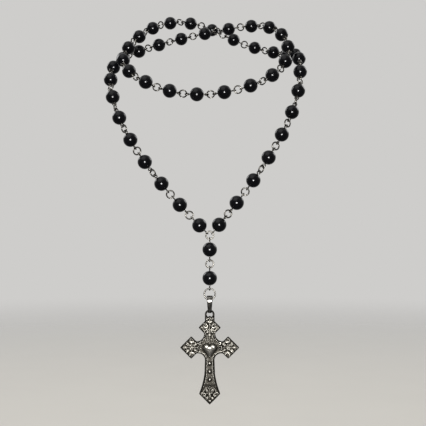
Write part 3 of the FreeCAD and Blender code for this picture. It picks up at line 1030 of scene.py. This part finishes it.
def make_stage(context):
    """Pale floor that fades into the backdrop, soft lights and the camera."""
    stage = context.scene.rosary_stage
    low, high = CAD_BOX
    middle = (low + high) / 2
    floor_mesh = bpy.data.meshes.new("floor")
    turns = np.linspace(0, math.tau, 97)[:-1]
    ring = [(stage.floor_radius * math.cos(a), stage.floor_radius * math.sin(a), 0) for a in turns]
    floor_mesh.from_pydata(ring, [], [list(range(len(ring)))])
    floor = bpy.data.objects.new("floor", floor_mesh)
    floor.location = (middle.x, middle.y, low.z - stage.clearance)
    floor.visible_glossy = False
    floor_mesh.materials.append(matt_floor(stage))
    context.scene.collection.objects.link(floor)

    aim = Vector((middle.x, low.y, middle.z))
    # Name, form, size in metres, power, and place as seen from what the lights aim at.
    lights = [
        ("key", "DISK", 0.22, stage.key, Vector((0.01, -0.62, -0.02))),
        ("front", "RECTANGLE", 1.2, stage.front, Vector((0.0, -0.95, 0.25))),
        ("overhead", "RECTANGLE", 0.9, stage.overhead, Vector((-0.25, -0.35, 0.75))),
        ("back_left", "RECTANGLE", 0.5, stage.fill, Vector((-0.75, 0.7, 0.55))),
        ("back_right", "RECTANGLE", 0.5, stage.fill, Vector((0.75, 0.7, 0.55))),
    ]
    for name, shape, size, power, away in lights:
        lamp = bpy.data.lights.new(name, "AREA")
        lamp.shape, lamp.size, lamp.energy = shape, size, power
        lamp.spread = stage.key_spread if name == "key" else stage.spread
        if shape == "RECTANGLE":
            lamp.size_y = size
        holder = bpy.data.objects.new(name, lamp)
        holder.location = aim + away
        holder.rotation_euler = (-away).to_track_quat("-Z", "Y").to_euler()
        context.scene.collection.objects.link(holder)

    context.scene.world = studio_air(stage)
    context.scene.view_settings.view_transform = "Standard"

    camera = bpy.data.cameras.new("camera")
    camera.lens, camera.sensor_width = stage.lens, 36
    holder = bpy.data.objects.new("camera", camera)
    holder.location = stage.camera
    holder.rotation_euler = (math.pi / 2, 0, 0)
    context.scene.collection.objects.link(holder)
    context.scene.camera = holder


def matt_floor(stage):
    """Matt painted board: pale, faintly mottled, and fading out towards the backdrop."""
    material, tree, shader, place = new_material("painted board, matt", 0.0)
    darker = [c * 0.96 for c in stage.floor]
    paint = two_colours(tree, noise_of(tree, place, per_mm(60)), stage.floor, darker)
    tree.links.new(paint, shader.inputs["Base Color"])
    shader.inputs["Roughness"].default_value = 0.9
    away = add_node(tree, "ShaderNodeVectorMath", {0: place}, operation="LENGTH")
    far = stage.floor_radius * 0.9
    fade = remap(tree, away.outputs["Value"], 0.1, far, interpolation_type="SMOOTHSTEP")
    clear = add_node(tree, "ShaderNodeBsdfTransparent")
    links = {0: fade, 1: shader.outputs[0], 2: clear.outputs[0]}
    mix = add_node(tree, "ShaderNodeMixShader", links)
    output = next(n for n in tree.nodes if n.type == "OUTPUT_MATERIAL")
    tree.links.new(mix.outputs[0], output.inputs["Surface"])
    return material


def studio_air(stage):
    """A room that the metal mirrors, dark in front and bright behind, with a pale backdrop."""
    world = bpy.data.worlds.new("studio")
    world.use_nodes = True
    tree = world.node_tree
    tree.nodes.clear()
    place = add_node(tree, "ShaderNodeTexCoord")
    facing = add_node(
        tree,
        "ShaderNodeVectorMath",
        {0: place.outputs["Generated"]},
        {1: BRIGHT_SIDE},
        operation="DOT_PRODUCT",
    )
    shade = add_node(tree, "ShaderNodeValToRGB", {"Fac": remap(tree, facing.outputs["Value"], -1, 1)})
    levels = [(0.3, stage.room), (0.5, 3 * stage.room), (0.8, 0.6 * stage.ceiling), (0.95, stage.ceiling)]
    elements = shade.color_ramp.elements
    for spot, level in levels[1:3]:
        elements.new(spot)
    for element, (spot, level) in zip(elements, levels):
        element.position = spot
        element.color = (level, level, level, 1)
    room = add_node(tree, "ShaderNodeBackground", {"Color": shade.outputs[0]})
    backdrop = add_node(tree, "ShaderNodeBackground", inputs={"Color": (*stage.backdrop, 1)})
    dome = add_node(tree, "ShaderNodeBackground", inputs={"Color": (*stage.dome, 1)})
    ray = add_node(tree, "ShaderNodeLightPath")
    lit = add_node(
        tree,
        "ShaderNodeMixShader",
        {0: ray.outputs["Is Diffuse Ray"], 1: room.outputs[0], 2: dome.outputs[0]},
    )
    mix = add_node(
        tree,
        "ShaderNodeMixShader",
        {0: ray.outputs["Is Camera Ray"], 1: lit.outputs[0], 2: backdrop.outputs[0]},
    )
    add_node(tree, "ShaderNodeOutputWorld", {"Surface": mix.outputs[0]})
    return world


# ---- what a user can change ----


def length(name, description, mm):
    return FloatProperty(name=name, description=description, default=mm * MM, unit="LENGTH", precision=5)


def colour(name, description, text):
    return FloatVectorProperty(
        name=name, description=description, subtype="COLOR", size=3, default=linear_from_hex(text)
    )


def power(name, description, watts):
    return FloatProperty(name=name, description=description, default=watts, unit="POWER")


def angle(name, description, radians):
    return FloatProperty(name=name, description=description, default=radians, subtype="ANGLE")


def amount(name, description, value):
    return FloatProperty(name=name, description=description, default=value, subtype="FACTOR")


class BeadSettings(bpy.types.PropertyGroup):
    diameter: length("Diameter", "Across a bead", 8.0)
    bore: length("Bore", "Across the drilled hole", 0.85)
    mouth: length("Mouth", "Radius of the rounding where the hole opens", 0.12)
    unevenness: amount("Unevenness", "How far a bead is from round, as a share of its size", 0.002)
    sides: IntProperty(name="Sides", description="Faces round a bead", default=64)
    steps: IntProperty(name="Steps", description="Faces from hole to hole", default=42)
    colour: colour("Glass", "Colour of the glass", "060607")
    tint: colour("Tint", "Colour of the glass where it is least dense", "0D0D10")
    roughness: amount("Roughness", "Roughness where the glass is clean", 0.09)
    shine: amount("Shine", "Strength of the reflection on the glass", 0.4)


class WireSettings(bpy.types.PropertyGroup):
    diameter: length("Pin wire", "Across the wire of an eye pin", 0.7)
    eye: length("Eye", "Across an eye, outside", 2.8)
    eye_reach: length("Eye reach", "From the middle of a bead to the middle of an eye", 5.5)
    bend: length("Bend", "Radius of the bend between shank and eye", 0.5)
    bend_end: length("Bend end", "How far along a pin nothing but its bend is found", 4.34)
    ring_gap: length("Ring gap", "Opening of a jump ring's butt joint", 0.1)
    ring_spring: length("Ring spring", "How far a ring's two ends lie side by side", 0.1)
    bevel: length("Bevel", "Bevel on a cut end", 0.05)
    sides: IntProperty(name="Sides", description="Faces round the wire", default=20)
    colour: colour("Steel", "Colour of the clean wire", "84817B")
    tarnish: colour("Tarnish", "Colour of the tarnished wire", "4B4843")
    roughness: amount("Roughness", "Roughness of the clean wire", 0.2)


class BailSettings(bpy.types.PropertyGroup):
    strap: length("Strap", "Thickness of the strap", 0.45)
    foot_depth: length("Foot depth", "Across the small end, seen from the side", 2.8)
    bow: length("Bow", "Height of the oval that the strap is bent to at the top, to its widest place", 2.9)
    width_foot: length("Foot width", "Width of the strap at the small end", 2.0)
    colour: colour("Steel", "Colour of the clean strap", "A9A6A0")
    tarnish: colour("Tarnish", "Colour of the tarnished strap", "75726C")
    roughness: amount("Roughness", "Roughness of the strap", 0.14)


class CrucifixSettings(bpy.types.PropertyGroup):
    grain: length("Grain", "Size of the faces of the relief", 0.1)
    heart_width: length("Heart width", "Across the heart", 7.6)
    heart_height: length("Heart height", "Height of the heart", 7.2)
    heart_lobe: length("Heart lobe", "Radius of the heart's lobes", 2.1)
    heart_drop: length("Heart drop", "From the middle of the cross to that of the heart", 1.7)
    heart_rise: length("Heart rise", "How far the heart stands above the field", 1.3)
    colour: colour("Silver", "Colour of the rubbed silver", "BDB9AF")
    ground: colour("Ground", "Colour of the dull ground", "45423C")
    oxide: colour("Oxide", "Colour of the blackened recesses", "15130F")
    roughness: amount("Roughness", "Roughness of the rubbed silver", 0.27)


class StageSettings(bpy.types.PropertyGroup):
    floor: colour("Floor", "Colour of the floor", "D2D0CB")
    backdrop: colour("Backdrop", "Colour of the backdrop", "CECDCB")
    dome: colour("Dome", "Light that the white room throws on matt things", "DAD8D4")
    floor_radius: length("Floor radius", "Radius of the floor", 1500)
    clearance: length("Clearance", "How far the object hangs above the floor", 60)
    key: power("Key light", "Power of the light in front", 0.45)
    front: power("Front", "Power of the soft front light", 0.2)
    overhead: power("Overhead", "Power of the light above", 0.6)
    fill: power("Fill", "Power of each light behind", 0.8)
    room: amount("Room", "Brightness of the room in front", 0.03)
    ceiling: amount("Ceiling", "Brightness of the room behind", 0.5)
    spread: angle("Spread", "Angle that the other lights shine into", 1.9)
    key_spread: angle("Key spread", "Angle that the key light shines into", 1.0)
    lens: FloatProperty(name="Lens", description="Focal length", default=80.28, unit="CAMERA")
    camera: FloatVectorProperty(
        name="Camera", description="Place of the camera", default=(0.004, -0.575, -0.0956), unit="LENGTH"
    )


# ---- operators, panel and start ----

BEAD_NODES = [n for n in frame["nodes"] if "_bead" in n]
WIRE_NODES = [n for n in frame["nodes"] if "ring" in n or "link" in n or "pin" in n]
BEAD_MIDDLES = [ball_middle(points) for node in BEAD_NODES for points in solids(node)]


class ROSARY_OT_beads(bpy.types.Operator):
    """Makes the glass beads"""

    bl_idname = "rosary.beads"
    bl_label = "Beads"

    def execute(self, context):
        make_beads(context, BEAD_NODES)
        return {"FINISHED"}


class ROSARY_OT_wire(bpy.types.Operator):
    """Makes the eye pins and jump rings"""

    bl_idname = "rosary.wire"
    bl_label = "Eye Pins and Jump Rings"

    def execute(self, context):
        make_wire(context, WIRE_NODES)
        return {"FINISHED"}


class ROSARY_OT_bail(bpy.types.Operator):
    """Makes the bail that the crucifix hangs from"""

    bl_idname = "rosary.bail"
    bl_label = "Bail"

    def execute(self, context):
        make_bail(context)
        return {"FINISHED"}


class ROSARY_OT_crucifix(bpy.types.Operator):
    """Makes the cast crucifix"""

    bl_idname = "rosary.crucifix"
    bl_label = "Crucifix"

    def execute(self, context):
        make_crucifix(context)
        return {"FINISHED"}


class ROSARY_OT_stage(bpy.types.Operator):
    """Makes the floor, the lights and the camera"""

    bl_idname = "rosary.stage"
    bl_label = "Stage"

    def execute(self, context):
        make_stage(context)
        return {"FINISHED"}


class ROSARY_PT_panel(bpy.types.Panel):
    """Lists the rosary's pieces"""

    bl_idname = "ROSARY_PT_panel"
    bl_label = "Rosary"
    bl_space_type = "VIEW_3D"
    bl_region_type = "UI"
    bl_category = "Rosary"

    def draw(self, context):
        for settings, operator in PANEL_ROWS:
            box = self.layout.box()
            group = getattr(context.scene, settings)
            for name in group.bl_rna.properties.keys():
                if name not in ("rna_type", "name"):
                    box.prop(group, name)
            box.operator(operator)


PANEL_ROWS = [
    ("rosary_stage", "rosary.stage"),
    ("rosary_beads", "rosary.beads"),
    ("rosary_wire", "rosary.wire"),
    ("rosary_bail", "rosary.bail"),
    ("rosary_crucifix", "rosary.crucifix"),
]
GROUPS = {
    "rosary_beads": BeadSettings,
    "rosary_wire": WireSettings,
    "rosary_bail": BailSettings,
    "rosary_crucifix": CrucifixSettings,
    "rosary_stage": StageSettings,
}
CLASSES = [
    *GROUPS.values(),
    ROSARY_OT_beads,
    ROSARY_OT_wire,
    ROSARY_OT_bail,
    ROSARY_OT_crucifix,
    ROSARY_OT_stage,
    ROSARY_PT_panel,
]


def register():
    for cls in CLASSES:
        bpy.utils.register_class(cls)
    for name, group in GROUPS.items():
        setattr(bpy.types.Scene, name, PointerProperty(type=group))


def unregister():
    for name in GROUPS:
        delattr(bpy.types.Scene, name)
    for cls in reversed(CLASSES):
        bpy.utils.unregister_class(cls)


def main():
    register()
    bpy.ops.rosary.stage()
    bpy.ops.rosary.beads()
    bpy.ops.rosary.wire()
    bpy.ops.rosary.bail()
    bpy.ops.rosary.crucifix()


if __name__ == "__main__":
    main()
